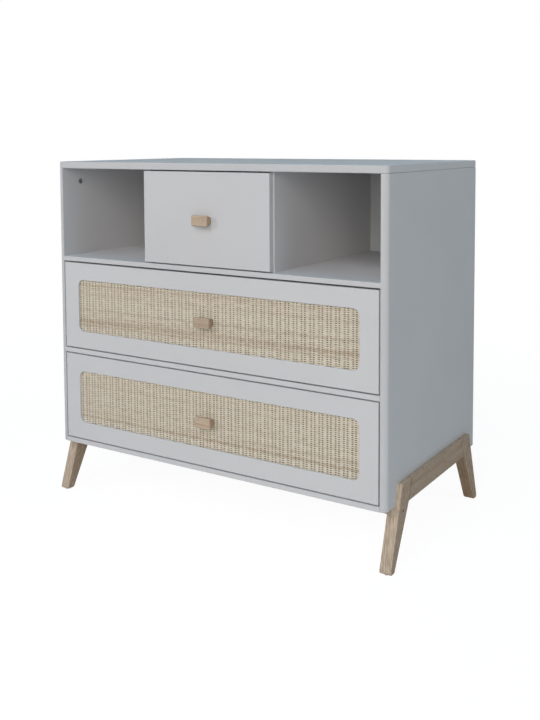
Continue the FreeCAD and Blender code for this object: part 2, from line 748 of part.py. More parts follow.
# Knob: a wooden block that narrows from its front face to its root on the drawer.
def make_knob(name, middle, seat):
    body = new_body(name + "_knob", "0", seat, middle)
    root = new_sketch(body, "XZ_Plane")
    add_box_outline(root, "-knob_root_width / 2", "knob_root_width / 2",
                    "-knob_root_height / 2", "knob_root_height / 2")
    face = new_sketch(body, "XZ_Plane", "knob_depth")
    add_box_outline(face, "-knob_width / 2", "knob_width / 2", "-knob_height / 2", "knob_height / 2")
    loft = body.newObject("PartDesign::AdditiveLoft", body.Name + "_loft")
    loft.Profile = root
    loft.Sections = [face]
    loft.Ruled = True
    doc.recompute()
    rounded = [number for number, edge in enumerate(loft.Shape.Edges, 1)
               if min(end.Point.y for end in edge.Vertexes) < -NEAR]
    soft = body.newObject("PartDesign::Fillet", body.Name + "_round")
    soft.Base = (loft, ["Edge%d" % number for number in rounded])
    bind(soft, "Radius", "knob_radius")
    doc.recompute()
    bore = new_sketch(body, "XZ_Plane")
    add_circle(bore, "knob_screw_diameter + 2 * dowel_clearance", "0", "0")
    pocket(body, bore, "knob_screw_grip + fit_clearance", along=True)


# Knob screw: its head bears on the back of the drawer's front, and it ends inside the knob.
def make_knob_screw(name, middle, seat):
    length = "front_back - (" + seat + ") + knob_screw_grip"
    whole = screw(name + "_knob_screw", "knob", length, "-y", "0", "front_back", middle)
    whole.Label = name + "_knob_screw"
    sub_parts.append(whole)


# Slides of one drawer: channels on the walls of its bay, and narrower channels on the box's
# sides that run inside them.
def make_slides(name, wall, bottom):
    middle = bottom + " + box_lift + slide_lift"
    outer = new_body(name + "_cabinet_slides", "0", "front_back + slide_setback", middle)
    inner = new_body(name + "_slide_members", "0", "front_back + slide_setback", middle)
    fixed = new_sketch(outer, "XZ_Plane")
    moving = new_sketch(inner, "XZ_Plane")
    for side, word in SIDES:
        add_channel(fixed, side, wall, wall + " - slide_flange", wall + " - slide_metal",
                    "slide_height / 2")
        add_channel(moving, side, wall + " - slide_width",
                    wall + " - slide_metal - slide_clearance",
                    wall + " - slide_width + slide_metal", "slide_inner_height / 2")
    pad(outer, fixed, "slide_length", against=True)
    pad(inner, moving, "slide_length", against=True)


def add_channel(sketch, side, web, lip, web_face, half):
    """C section: its web at one side, two flanges of the slide's metal out to the lip."""
    inside = half + " - slide_metal"
    corners = [(web, "-(" + half + ")"), (lip, "-(" + half + ")"), (lip, "-(" + inside + ")"),
               (web_face, "-(" + inside + ")"), (web_face, inside), (lip, inside),
               (lip, half), (web, half)]
    add_outline(sketch, [(sided(side, across), up) for across, up in corners])


def make_drawer(name, width, height, bottom, wall, framed):
    seat = "front_plane + weave_recess" if framed else "front_plane"
    middle = bottom + " + (" + height + ") / 2 - knob_drop"
    make_front(name, width, height, bottom, framed)
    make_box(name, "(" + wall + " - slide_width)", bottom)
    make_knob(name, middle, seat)
    make_knob_screw(name, middle, seat)
    make_slides(name, wall, bottom)


make_top_panel()
for side, word in SIDES:
    make_side_panel(side, word)
    make_partition(side, word)
    make_leg_rail(side, word)
    for end, end_word in ENDS:
        make_leg(side, word, end, end_word)
for label, depth, bottom in SHELVES:
    make_shelf(label, depth, bottom)
make_back_panel()
make_cross_rail()
make_fasteners()
make_drawer("top_drawer", "top_drawer_width", "top_front_height", "shelf_top + front_gap",
            "partition_inner", False)
make_drawer("upper_drawer", "wide_front_width", "upper_front_height", "upper_front",
            "inner_half", True)
make_drawer("lower_drawer", "wide_front_width", "drawer_front_height", "lower_front",
            "inner_half", True)

doc.recompute()
for thing in doc.Objects:
    if "Invalid" in thing.State or "Error" in thing.State:
        raise RuntimeError("%s failed: %s" % (thing.Name, thing.State))
for sub_part in sub_parts:
    if sub_part.Shape.isNull() or not sub_part.Shape.isValid():
        raise RuntimeError("the shape of %s is not valid" % sub_part.Label)

os.makedirs("parts", exist_ok=True)
for sub_part in sub_parts:
    sub_part.Shape.exportStep(os.path.join("parts", sub_part.Label + ".step"))
    solids = len(sub_part.Shape.Solids)
    print("%-28s %2d solid(s) %10.0f mm3" % (sub_part.Label, solids, sub_part.Shape.Volume))
print(len(sub_parts), "sub-parts")
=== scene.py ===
# %% [markdown]
# # A chest of drawers with woven rattan fronts
#
# The object is a low chest: a light grey board carcass on two oak leg frames, with two open niches,
# a small plain drawer between them and two wide drawers whose fronts frame a rattan weave.
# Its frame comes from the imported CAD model, which holds every board, screw and slide at its real
# size. This lesson dresses that frame. Solid pieces whose shape is right keep their mesh and get a
# finish, and the two weaves, which are plain plates in the frame, are made here strand by strand.

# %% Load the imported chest
import math

import bpy
import numpy as np
from mathutils import Matrix, Vector


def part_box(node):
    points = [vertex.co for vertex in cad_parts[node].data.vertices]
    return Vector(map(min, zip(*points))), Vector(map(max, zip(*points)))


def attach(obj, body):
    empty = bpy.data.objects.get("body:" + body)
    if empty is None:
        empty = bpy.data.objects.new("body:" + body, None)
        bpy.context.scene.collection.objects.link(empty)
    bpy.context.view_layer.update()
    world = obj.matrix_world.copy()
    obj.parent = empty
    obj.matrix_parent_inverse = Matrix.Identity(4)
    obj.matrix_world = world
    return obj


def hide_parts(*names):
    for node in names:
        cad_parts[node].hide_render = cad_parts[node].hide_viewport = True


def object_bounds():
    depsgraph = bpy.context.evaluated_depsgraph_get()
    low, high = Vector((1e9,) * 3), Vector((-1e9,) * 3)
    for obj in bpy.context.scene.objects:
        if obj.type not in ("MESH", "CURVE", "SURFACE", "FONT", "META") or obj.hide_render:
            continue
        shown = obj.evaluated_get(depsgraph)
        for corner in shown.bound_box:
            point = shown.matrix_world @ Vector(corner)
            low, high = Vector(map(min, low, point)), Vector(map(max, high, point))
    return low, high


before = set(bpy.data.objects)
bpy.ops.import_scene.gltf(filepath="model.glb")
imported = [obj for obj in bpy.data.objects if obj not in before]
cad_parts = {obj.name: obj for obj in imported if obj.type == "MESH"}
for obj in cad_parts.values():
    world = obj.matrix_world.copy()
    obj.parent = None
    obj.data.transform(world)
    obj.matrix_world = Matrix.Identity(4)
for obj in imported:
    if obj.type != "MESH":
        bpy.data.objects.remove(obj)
CAD_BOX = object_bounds()
size = CAD_BOX[1] - CAD_BOX[0]
print(f"the chest is {size.x:.3f} m wide, {size.y:.3f} m deep and {size.z:.3f} m high")

# %% [markdown]
# ## The camera
#
# The chest is looked at from the front and its right, from a little above the top.
# Upright edges stay upright in such a picture, because the camera is nearly level and its frame is
# shifted down instead of being tilted. So the camera's directions are given as a turn, a small tilt
# and a hair of roll, and the lens comes from the focal length counted in pixels of an image that is
# 720 pixels high.

# %% Place the camera
IMAGE_HEIGHT = 720
SENSOR_MM = 36
CAMERA_PLACE = Vector((1.3266, -2.0539, 0.9529))
TURN_LEFT, TILT_DOWN, ROLL = math.radians(32.37), math.radians(3.95), math.radians(-0.25)
FOCAL_PIXELS = 925.3
AXIS_ROW = 204.7  # the row of the image, from its top, that the camera's axis meets

camera = bpy.data.objects.new("camera", bpy.data.cameras.new("camera"))
bpy.context.scene.collection.objects.link(camera)
bpy.context.scene.camera = camera
level = Matrix.Rotation(TURN_LEFT, 3, "Z") @ Matrix.Rotation(math.pi / 2 - TILT_DOWN, 3, "X")
rolled = level @ Matrix.Rotation(ROLL, 3, "Z")
camera.matrix_world = Matrix.LocRotScale(CAMERA_PLACE, rolled, None)
camera.data.sensor_width = SENSOR_MM
camera.data.lens = SENSOR_MM * FOCAL_PIXELS / IMAGE_HEIGHT
camera.data.shift_y = (AXIS_ROW - IMAGE_HEIGHT / 2) / IMAGE_HEIGHT
print(f"lens {camera.data.lens:.1f} mm, shifted by {camera.data.shift_y:.3f}")

# %% [markdown]
# ## Colours
#
# Every finish here is a Principled shader. Its colours are written as they look on screen, from 0
# to 255, and turned into the linear light that the shader wants. Deeper and paler tones of a colour
# are that light times a factor.

# %% Turn screen colours into light
WHITE = (1.0, 1.0, 1.0, 1.0)


def swatch(red, green, blue):
    """The linear colour of a screen colour.

    Each value c becomes ((c / 255 + 0.055) / 1.055) to the power 2.4.
    """
    channels = (np.array([red, green, blue]) / 255 + 0.055) / 1.055
    return (*(float(c) for c in channels**2.4), 1.0)


def toned(colour, factor):
    """A colour made deeper or paler by a factor, and at most white."""
    return (*(min(1.0, c * factor) for c in colour[:3]), 1.0)


print("a mid grey of 128 is", round(swatch(128, 128, 128)[0], 3), "in linear light")

# %% [markdown]
# ## Nodes
#
# The colour, roughness and relief of a finish come from a few texture nodes. Small helpers keep
# those recipes readable: one starts a finish, one adds a node and links whatever socket is handed
# to it, and two wrap the nodes for sums and for coordinates. The last one puts a finish on pieces
# of the frame, whose meshes stay as they are.


# %% Start a finish and add nodes to it
def start_finish(name, roughness, metallic=0.0):
    """A new material with constant gloss settings: returns it, its nodes and its shader."""
    finish = bpy.data.materials.new(name)
    finish.use_nodes = True
    shader = finish.node_tree.nodes["Principled BSDF"]
    shader.inputs["Roughness"].default_value = roughness
    shader.inputs["Metallic"].default_value = metallic
    return finish, finish.node_tree, shader


def add_node(tree, kind, inputs, **settings):
    """Adds a shader node.

    settings are its properties, and inputs its sockets' values or the sockets to link to them.
    """
    node = tree.nodes.new("ShaderNode" + kind)
    for name, value in settings.items():
        setattr(node, name, value)
    for name, value in inputs.items():
        if isinstance(value, bpy.types.NodeSocket):
            tree.links.new(value, node.inputs[name])
        else:
            node.inputs[name].default_value = value
    return node


def calculate(tree, operation, *values):
    """The result of a Math node on numbers or sockets."""
    return add_node(tree, "Math", dict(enumerate(values)), operation=operation).outputs[0]


def coordinate(tree, kind, axis=None):
    """Coordinates of a kind, such as Object or Normal, or only their part along an axis."""
    place = add_node(tree, "TexCoord", {}).outputs[kind]
    return add_node(tree, "SeparateXYZ", {0: place}).outputs[axis] if axis else place


def dress(finish, names):
    """Gives a finish to nodes of the frame."""
    for name in names:
        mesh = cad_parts[name].data
        mesh.materials.clear()
        mesh.materials.append(finish)


print(len(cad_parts), "nodes wait for a finish")

# %% [markdown]
# ## Patterns
#
# A pattern is mostly soft noise, stretched along one direction where the material has a grain.
# It reads Object coordinates, which are in metres on every piece, so it keeps its real size.
# A noise rarely comes near 0 or 1, so the range that it really uses is mapped onto the one that a
# finish needs.

# %% Wrap the nodes that patterns need
EVENLY = (1.0, 1.0, 1.0)
NOISE_RANGE = (0.3, 0.7)
MIX_SHARE, MIX_FIRST, MIX_SECOND, MIXED_COLOUR = 0, 6, 7, 2  # a Mix node's sockets for colours


def stretched(tree, scale, turn=(0.0, 0.0, 0.0), centre=(0.0, 0.0, 0.0)):
    """Object coordinates from a centre, turned and then scaled, so that a pattern runs one way."""
    sockets = {"Vector": coordinate(tree, "Object"), "Center": centre, "Rotation": turn}
    turned = add_node(tree, "VectorRotate", sockets, rotation_type="EULER_XYZ").outputs[0]
    return add_node(tree, "Mapping", {"Vector": turned, "Scale": scale}).outputs[0]


def noise(tree, vector, scale, detail=2.0, roughness=0.5):
    """Soft cloudy noise from 0 to 1, with so many patches to the metre."""
    sockets = {"Vector": vector, "Scale": scale, "Detail": detail, "Roughness": roughness}
    return add_node(tree, "TexNoise", sockets).outputs["Fac"]


def spread(tree, value, low, high, new_low=0.0, new_high=1.0):
    """Maps a value's range onto another, held at both ends."""
    sockets = {"Value": value, "From Min": low, "From Max": high,
               "To Min": new_low, "To Max": new_high}
    return add_node(tree, "MapRange", sockets).outputs[0]


def from_noise(tree, value, new_low=0.0, new_high=1.0):
    """Maps the range that a noise really uses onto another."""
    return spread(tree, value, *NOISE_RANGE, new_low, new_high)


def blend_colours(tree, share, first, second, mode="MIX"):
    """Mixes two colours or colour sockets by a share from 0 to 1."""
    node = add_node(tree, "Mix", {}, data_type="RGBA", blend_type=mode)
    for index, value in ((MIX_SHARE, share), (MIX_FIRST, first), (MIX_SECOND, second)):
        if isinstance(value, bpy.types.NodeSocket):
            tree.links.new(value, node.inputs[index])
        else:
            node.inputs[index].default_value = value
    return node.outputs[MIXED_COLOUR]


def relief(tree, shader, height, distance):
    """Raises the surface by height, from 0 to 1, times a distance in metres."""
    bump = add_node(tree, "Bump", {"Height": height, "Distance": distance})
    tree.links.new(bump.outputs[0], shader.inputs["Normal"])


print("noise from", NOISE_RANGE[0], "to", NOISE_RANGE[1], "is mapped onto what a finish needs")

# %% [markdown]
# ## The studio
#
# The chest stands on a plain white floor against white. The background is made white only for rays
# that come from the camera, are mirrored or pass through glass, so that it adds no light to the
# chest. Near the chest the floor is partly its own grey, which keeps a soft shadow, and further off
# it is all glow.

# %% Light the room
ROOM_LIGHT = (0.86, 0.95, 1.0, 1.0)
ROOM_STRENGTH = 0.02


def seen_directly(tree):
    """1 for camera, mirrored and transmitted rays and 0 for the rest."""
    rays = tree.nodes.new("ShaderNodeLightPath").outputs
    either = calculate(tree, "MAXIMUM", rays["Is Camera Ray"], rays["Is Glossy Ray"])
    return calculate(tree, "MAXIMUM", either, rays["Is Transmission Ray"])


room = bpy.data.worlds.new("studio")
room.use_nodes = True
bpy.context.scene.world = room
sky = room.node_tree
ambient = sky.nodes["Background"]
ambient.inputs["Color"].default_value = ROOM_LIGHT
ambient.inputs["Strength"].default_value = ROOM_STRENGTH
backdrop = add_node(sky, "Background", {"Color": WHITE, "Strength": 1.0})
choice = add_node(sky, "MixShader", {0: seen_directly(sky), 1: ambient.outputs[0],
                                     2: backdrop.outputs[0]})
sky.links.new(choice.outputs[0], sky.nodes["World Output"].inputs["Surface"])
print("the room's own light has a strength of", ROOM_STRENGTH)

# %% Lay the floor
FLOOR_HALF = 12.0
FLOOR_GREY = swatch(235, 235, 235)
FLOOR_NEAR, FLOOR_FAR = 0.9, 3.0  # metres from the middle of the chest
NEAR_SHARE, FAR_SHARE = 0.85, 1.0  # how much of the floor is glow
NEAR_GLOW, FAR_GLOW = 1.1, 1.0

floor_mesh = bpy.data.meshes.new("studio_floor")
corners = [(-FLOOR_HALF, -FLOOR_HALF, 0), (FLOOR_HALF, -FLOOR_HALF, 0),
           (FLOOR_HALF, FLOOR_HALF, 0), (-FLOOR_HALF, FLOOR_HALF, 0)]
floor_mesh.from_pydata(corners, [], [(0, 1, 2, 3)])
floor = bpy.data.objects.new("studio_floor", floor_mesh)
bpy.context.scene.collection.objects.link(floor)

floor_finish, tree, shader = start_finish("studio_white", 1.0)
shader.inputs["Base Color"].default_value = FLOOR_GREY
shader.inputs["Specular IOR Level"].default_value = 0.0
place = coordinate(tree, "Object")
away = add_node(tree, "VectorMath", {0: place}, operation="LENGTH").outputs["Value"]
glow_share = spread(tree, away, FLOOR_NEAR, FLOOR_FAR, NEAR_SHARE, FAR_SHARE)
glow_strength = spread(tree, away, FLOOR_NEAR, FLOOR_FAR, NEAR_GLOW, FAR_GLOW)
glow = add_node(tree, "Emission", {"Color": WHITE, "Strength": glow_strength})
share = calculate(tree, "MULTIPLY", seen_directly(tree), glow_share)
both = add_node(tree, "MixShader", {0: share, 1: shader.outputs[0], 2: glow.outputs[0]})
tree.links.new(both.outputs[0], tree.nodes["Material Output"].inputs["Surface"])
floor_mesh.materials.append(floor_finish)
print("the floor is", 2 * FLOOR_HALF, "m wide and all glow beyond", FLOOR_FAR, "m")

# %% [markdown]
# ### Lamps
#
# Two large soft lamps stand in front of the chest, one high up and a warmer one lower and to the
# right, which reaches into the niches. A smaller key lamp on the left throws the shadows of the
# knobs. A cool lamp on the right and a weak blue one overhead make the right side and the top a
# bluer, darker grey than the front. Two low ones light the back and the left side, which the
# picture doesn't show, but a turn round the chest does.

# %% Hang the lamps
LAMPS = {  # place, height of the point looked at, width, watts and colour
    "key_lamp": ((-4.1, -5.25, 2.65), 0.5, 2.0, 86.0, (1.0, 0.985, 1.0)),
    "high_front_lamp": ((0.3, -6.0, 5.2), 0.5, 3.0, 128.0, (1.0, 0.96, 0.99)),
    "low_right_lamp": ((3.05, -6.55, 2.45), 0.5, 4.0, 203.0, (1.0, 0.95, 0.87)),
    "side_lamp": ((6.45, -0.55, 3.1), 0.5, 4.0, 87.0, (0.78, 0.9, 1.0)),
    "sky_lamp": ((0.0, -0.9, 5.4), 0.9, 3.0, 40.0, (0.18, 0.7, 1.0)),
    "rear_lamp": ((-1.5, 7.0, 0.66), 0.5, 1.3, 165.0, (1.0, 0.98, 0.96)),
    "left_lamp": ((-6.3, 0.9, 0.66), 0.5, 1.3, 62.0, (1.0, 0.97, 0.95)),
}


def soft_lamp(name, place, height, width, watts, colour):
    """A square area lamp at a place, turned to a point on the chest's middle line."""
    lamp = bpy.data.lights.new(name, "AREA")
    lamp.size = width
    lamp.energy = watts
    lamp.color = colour
    holder = bpy.data.objects.new(name, lamp)
    bpy.context.scene.collection.objects.link(holder)
    aim = Vector((0.0, 0.0, height)) - Vector(place)
    holder.matrix_world = Matrix.LocRotScale(Vector(place), aim.to_track_quat("-Z", "Y"), None)


for name, settings in LAMPS.items():
    soft_lamp(name, *settings)
print(len(LAMPS), "lamps hung")

# %% [markdown]
# ## Grey paint
#
# The boards are fibreboard sprayed with a satin light grey. Sprayed paint is even, but not dead
# flat: it has a faint orange peel about a millimetre and a half across, and its gloss wanders a
# little. Both come from noise on Object coordinates, so that the skin runs on from board to board
# at one scale. On the carcass boards and the shelf, the faces that look to the front or back are
# painted a shade darker, which is painted shade. The small drawer's front is painted a hair deeper
# than the rest, also painted shade, and the shelf a hair paler, painted light for the niches'
# floors.

# %% Paint the carcass and the drawer fronts
PAINT_ROUGHNESS, PAINT_SHINE = 0.6, 0.12
PAINT_GLOSS = (0.56, 0.68)  # the roughness wanders between these
CLOUDS, CLOUD_TONE = (2.2, 3.0), 0.955  # a noise is patches to the metre, detail and roughness
GLOSS_PATCHES = (14.0, 4.0)
PEEL, PEEL_HEIGHT = (650.0, 1.5, 0.4), 0.00004
TURNED_AWAY, SQUARE_ON = 0.5, 0.9  # a normal's part along an axis, on slanting and square faces
PAINT_COLOUR = swatch(209, 209, 211)
# the tone of the front and back edges is a painted shade
PAINTS = {  # colour, tone of the front and back edges, and boards
    "grey_satin_shaded_edges": (PAINT_COLOUR, 0.91, ["top_panel", "left_side_panel", "right_side_panel",
                                              "left_partition", "right_partition"]),
    "grey_satin_even": (PAINT_COLOUR, 1.0, ["drawer_divider", "base_panel", "upper_drawer_front",
                                            "lower_drawer_front"]),
    # painted shade: the small drawer's front is painted a hair deeper than the rest
    "grey_satin_small_front_shaded": (swatch(205, 205, 207), 1.0, ["top_drawer_front"]),
    # painted light: the shelf is a hair paler so the niches' floors read lighter, and its edges
    # carry painted shade
    "grey_satin_shelf_painted_light": (swatch(216, 216, 218), 0.88, ["niche_shelf"]),
}


def faces_along(tree, axis):
    """1 on faces that look along an axis, either way, and 0 on those turned away from it."""
    part = calculate(tree, "ABSOLUTE", coordinate(tree, "Normal", axis))
    return spread(tree, part, TURNED_AWAY, SQUARE_ON)


def grey_paint(name, colour, edge_shade_tone):
    """Satin paint: large pale clouds in the colour, a wandering gloss and a fine orange peel.

    Faces that look to the front or back are multiplied by the edge tone, a painted shade.
    """
    finish, tree, shader = start_finish(name, PAINT_ROUGHNESS)
    shader.inputs["Specular IOR Level"].default_value = PAINT_SHINE
    place = stretched(tree, EVENLY)
    clouds = from_noise(tree, noise(tree, place, *CLOUDS))
    clouded = blend_colours(tree, clouds, toned(colour, CLOUD_TONE), colour)
    # painted shade: the faces that look to the front or back are darkened
    shaded_faces = faces_along(tree, "Y")
    edge_shaded = blend_colours(tree, shaded_faces, clouded, toned(WHITE, edge_shade_tone), "MULTIPLY")
    tree.links.new(edge_shaded, shader.inputs["Base Color"])
    gloss = from_noise(tree, noise(tree, place, *GLOSS_PATCHES), *PAINT_GLOSS)
    tree.links.new(gloss, shader.inputs["Roughness"])
    relief(tree, shader, noise(tree, place, *PEEL), PEEL_HEIGHT)
    return finish


for name, (colour, edge_shade_tone, boards) in PAINTS.items():
    dress(grey_paint(name, colour, edge_shade_tone), boards)
print(sum(len(row[-1]) for row in PAINTS.values()), "boards painted")

# %% [markdown]
# ## Thin boards and drawer boxes
#
# The back is a thin hard fibreboard with a printed grey face, the drawer boxes are faced board, and
# the boards behind the weaves are bare. A pressed face shows a faint speckle of fibres, so their
# colour carries short streaks over soft clouds, and their skin is a little rougher than the paint.

# %% Face the back, the boxes and the backing boards
DRAWERS = ("top_drawer", "upper_drawer", "lower_drawer")
WEAVES = ("upper_drawer", "lower_drawer")
BOX_PARTS = ("left_side", "right_side", "back")
BOARD_ROUGHNESS, BOARD_GLOSS = 0.62, (0.55, 0.7)
SHORT_FIBRES, FIBRE_STRETCH = (420.0, 3.0, 0.6), (0.25, 0.6, 1.0)
FIBRE_RANGE, FIBRE_HEIGHT = (0.55, 0.75), 0.00005
SOFT_CLOUDS, CLOUD_SHARES = (5.0, 2.0), (0.0, 0.5)
PRESSED_BOARDS = {  # colour, fibres' colour, their strength and boards
    "grey_faced_back": (swatch(205, 207, 209), swatch(192, 194, 197), 0.5, ["back_panel"]),
    "grey_faced_box": (swatch(196, 198, 201), swatch(180, 182, 186), 0.5,
                       [f"{drawer}_{part}" for drawer in DRAWERS for part in BOX_PARTS]),
    "grey_box_bottom": (swatch(186, 188, 191), swatch(168, 170, 174), 0.6,
                        [f"{drawer}_bottom" for drawer in DRAWERS]),
    "raw_backing_board": (swatch(150, 126, 98), swatch(120, 98, 74), 0.8,
                          [f"{drawer}_backing_board" for drawer in WEAVES]),
}


def pressed_board(name, colour, fibre_colour, strength):
    """Faced fibreboard: short fibres, longest along X, over a lightly clouded ground."""
    finish, tree, shader = start_finish(name, BOARD_ROUGHNESS)
    fibres = noise(tree, stretched(tree, FIBRE_STRETCH), *SHORT_FIBRES)
    clouds = from_noise(tree, noise(tree, stretched(tree, EVENLY), *SOFT_CLOUDS), *CLOUD_SHARES)
    ground = blend_colours(tree, clouds, colour, fibre_colour)
    specks = spread(tree, fibres, *FIBRE_RANGE, 0.0, strength)
    flecked = blend_colours(tree, specks, ground, fibre_colour)
    tree.links.new(flecked, shader.inputs["Base Color"])
    tree.links.new(from_noise(tree, fibres, *BOARD_GLOSS), shader.inputs["Roughness"])
    relief(tree, shader, fibres, FIBRE_HEIGHT)
    return finish


for name, (*recipe, boards) in PRESSED_BOARDS.items():
    dress(pressed_board(name, *recipe), boards)
print(sum(len(row[-1]) for row in PRESSED_BOARDS.values()), "thin boards faced")

# %% [markdown]
# ## Oak
#
# The legs, rails and knobs are solid pale oak with a matt oil. Wood is a stack of cones round the
# middle of the tree, so each piece takes its figure from rings round an axis that lies outside the
# piece, and every board shows straight lines on one face and wider arches on another, as real wood
# does. The rings are bent a little by a slow wander, and fade in some places.

# %% Grow the rings
OAK_LIGHT, OAK_DARK = swatch(195, 178, 159), swatch(149, 131, 112)
RINGS_PER_METRE = 60.0
RING_STRETCH = 0.10  # how far a pattern is drawn out along the grain: less is longer
RING_BEND, WANDER = 0.02, {"Scale": 18.0, "Detail": 2.0}
RING_WAVE = {"Distortion": 1.2, "Detail": 2.0, "Detail Scale": 1.5}
FADING, FADING_SHARES = (24.0, 3.0), (0.35, 1.0)
VECTOR_FIRST, VECTOR_SECOND, MIXED_VECTOR = 4, 5, 1  # a Mix node's sockets for vectors


def along_grain(tree, stretch, turn, heart):
    """Coordinates from the heart of the tree, turned so that the grain is Z, and drawn out."""
    return stretched(tree, (1.0, 1.0, stretch), turn, heart)


def ring_figure(tree, turn, heart, ring_scale):
    """Growth rings round Z, bent by a wander and stronger in some places than in others."""
    along = along_grain(tree, RING_STRETCH, turn, heart)
    wander = add_node(tree, "TexNoise", {"Vector": along, **WANDER})
    bent = add_node(tree, "Mix", {"Factor": RING_BEND}, data_type="VECTOR")
    tree.links.new(along, bent.inputs[VECTOR_FIRST])
    tree.links.new(wander.outputs["Color"], bent.inputs[VECTOR_SECOND])
    sockets = {"Vector": bent.outputs[MIXED_VECTOR], "Scale": ring_scale, **RING_WAVE}
    ring = add_node(tree, "TexWave", sockets, wave_type="RINGS", rings_direction="Z",
                    wave_profile="SAW")
    fading = from_noise(tree, noise(tree, along, *FADING), *FADING_SHARES)
    return calculate(tree, "MULTIPLY", ring.outputs["Fac"], fading)


print("oak is mixed from", [round(c, 2) for c in OAK_LIGHT[:3]],
      "and", [round(c, 2) for c in OAK_DARK[:3]])

# %% [markdown]
# ### Pores, flecks and glue
#
# Fine pores, far longer than wide, run along the grain, and soft slanting flecks cross it, where
# the saw met the tree's rays. The faces that look along X are painted a little darker, a painted
# shade. The rails stand between slanting joints, where a trace of glue has browned their ends.

# %% Mix the oak
OAK_ROUGHNESS, OAK_SHINE, OAK_GLOSS = 0.6, 0.06, (0.52, 0.68)
RING_MIX = (0.15, 0.95, 0.0, 0.75)  # a pattern's range, and the share of the darker colour there
LONG_FIBRES, LONG_FIBRE_STRETCH, LONG_FIBRE_MIX = (520.0, 3.0, 0.65), 0.045, (0.5, 0.72, 0.0, 0.35)
PORES, PORE_STRETCH, PORE_MIX = (900.0, 1.0, 0.5), 0.035, (0.63, 0.72, 0.0, 0.5)
PORE_TONE, PORE_DEPTH, PORE_CUT = 0.62, 0.00012, (0.55, 0.75, 1.0, 0.0)
STREAKS, STREAK_STRETCH, STREAK_TURN = (440.0, 1.0, 0.4), 0.06, 0.22
PALE_STREAKS, DARK_STREAKS = (0.52, 0.64), (0.48, 0.36)
FLECKS, RAY_TONE = 0.15, 1.4
# painted shade: the multiplier for faces that look along X
SIDE_SHADE = (0.865, 0.82, 0.79, 1.0)
GLUE_BROWN = swatch(120, 94, 72)
GLUE_START, GLUE_FULL, GLUE_SHARE = 0.0035, 0.0012, 0.75


def glue_line(tree, middle, half_length, lean):
    """How strongly glue browns a rail: more over the last millimetres before its joints.

    half_length is that of the rail at its middle, and lean how much shorter it gets with each
    metre of height.
    """
    sideways = calculate(tree, "SUBTRACT", coordinate(tree, "Object", "Y"), middle.y)
    height = calculate(tree, "SUBTRACT", coordinate(tree, "Object", "Z"), middle.z)
    end = calculate(tree, "MULTIPLY_ADD", height, lean, calculate(tree, "ABSOLUTE", sideways))
    return spread(tree, end, half_length - GLUE_START, half_length - GLUE_FULL, 0.0, GLUE_SHARE)


def oak(name, light, dark, turn, heart, ring_scale=RINGS_PER_METRE, flecks=FLECKS,
        front_shade=WHITE, joint=None):
    """Oak with its grain along Z after the turn: rings round the heart, flecks and dark pores.

    flecks is their strength. The side faces are multiplied by a painted side shade, and those that
    look to the front by the painted front shade given. joint is what glue_line needs, on a rail
    between slanting joints.
    """
    finish, tree, shader = start_finish(name, OAK_ROUGHNESS)
    shader.inputs["Specular IOR Level"].default_value = OAK_SHINE

    figure = ring_figure(tree, turn, heart, ring_scale)
    ringed = blend_colours(tree, spread(tree, figure, *RING_MIX), light, dark)
    fibres = noise(tree, along_grain(tree, LONG_FIBRE_STRETCH, turn, heart), *LONG_FIBRES)
    fibred = blend_colours(tree, spread(tree, fibres, *LONG_FIBRE_MIX), ringed, dark)
    pores = noise(tree, along_grain(tree, PORE_STRETCH, turn, heart), *PORES)
    deep = toned(dark, PORE_TONE)
    pored = blend_colours(tree, spread(tree, pores, *PORE_MIX), fibred, deep)

    slant = (turn[0], turn[1] + STREAK_TURN, turn[2])
    streaks = noise(tree, along_grain(tree, STREAK_STRETCH, slant, heart), *STREAKS)
    pale_share = spread(tree, streaks, *PALE_STREAKS, 0.0, flecks)
    flecked = blend_colours(tree, pale_share, pored, toned(light, RAY_TONE))
    dark_share = spread(tree, streaks, *DARK_STREAKS, 0.0, flecks)
    barred = blend_colours(tree, dark_share, flecked, dark)

    # painted shade on the side faces, and, where given, on the faces that look to the front
    side_shaded = blend_colours(tree, faces_along(tree, "X"), barred, SIDE_SHADE, "MULTIPLY")
    forward = spread(tree, coordinate(tree, "Normal", "Y"), -TURNED_AWAY, -SQUARE_ON)
    shaded = blend_colours(tree, forward, side_shaded, front_shade, "MULTIPLY")
    if joint:
        shaded = blend_colours(tree, glue_line(tree, *joint), shaded, GLUE_BROWN)
    tree.links.new(shaded, shader.inputs["Base Color"])
    tree.links.new(from_noise(tree, fibres, *OAK_GLOSS), shader.inputs["Roughness"])
    relief(tree, shader, spread(tree, pores, *PORE_CUT), PORE_DEPTH)
    return finish


print(f"the flecks slant by {math.degrees(STREAK_TURN):.0f} degrees to the grain")

# %% [markdown]
# ### The grain of each piece
#
# The grain of each leg follows the leg, which leans, so the coordinates are turned until the leg's
# own direction is upright. How far it leans, and where a rail meets its slanting joints, is
# measured on the meshes of the frame. The heart of the tree, round which the rings run, lies some
# centimetres outside each piece. The rear legs' front faces are painted darker, a painted shade for
# the chest's shelter.

# %% Measure the legs and rails
FOOT_SLICE, TOP_SLICE, RAIL_SLICE = 0.02, 0.03, 0.005


def mesh_points(name):
    """The places of a node's vertices."""
    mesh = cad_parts[name].data
    points = np.empty(len(mesh.vertices) * 3)
    mesh.vertices.foreach_get("co", points)
    return points.reshape(-1, 3)


def leg_lean(name):
    """How far a leg leans about X, from the middle of its foot to the middle of its top end."""
    points = mesh_points(name)
    low, high = points[:, 2].min(), points[:, 2].max()
    ends = [points[points[:, 2] < low + FOOT_SLICE], points[points[:, 2] > high - TOP_SLICE]]
    foot, top = (0.5 * (end.min(0) + end.max(0)) for end in ends)
    return math.atan2(top[1] - foot[1], top[2] - foot[2])


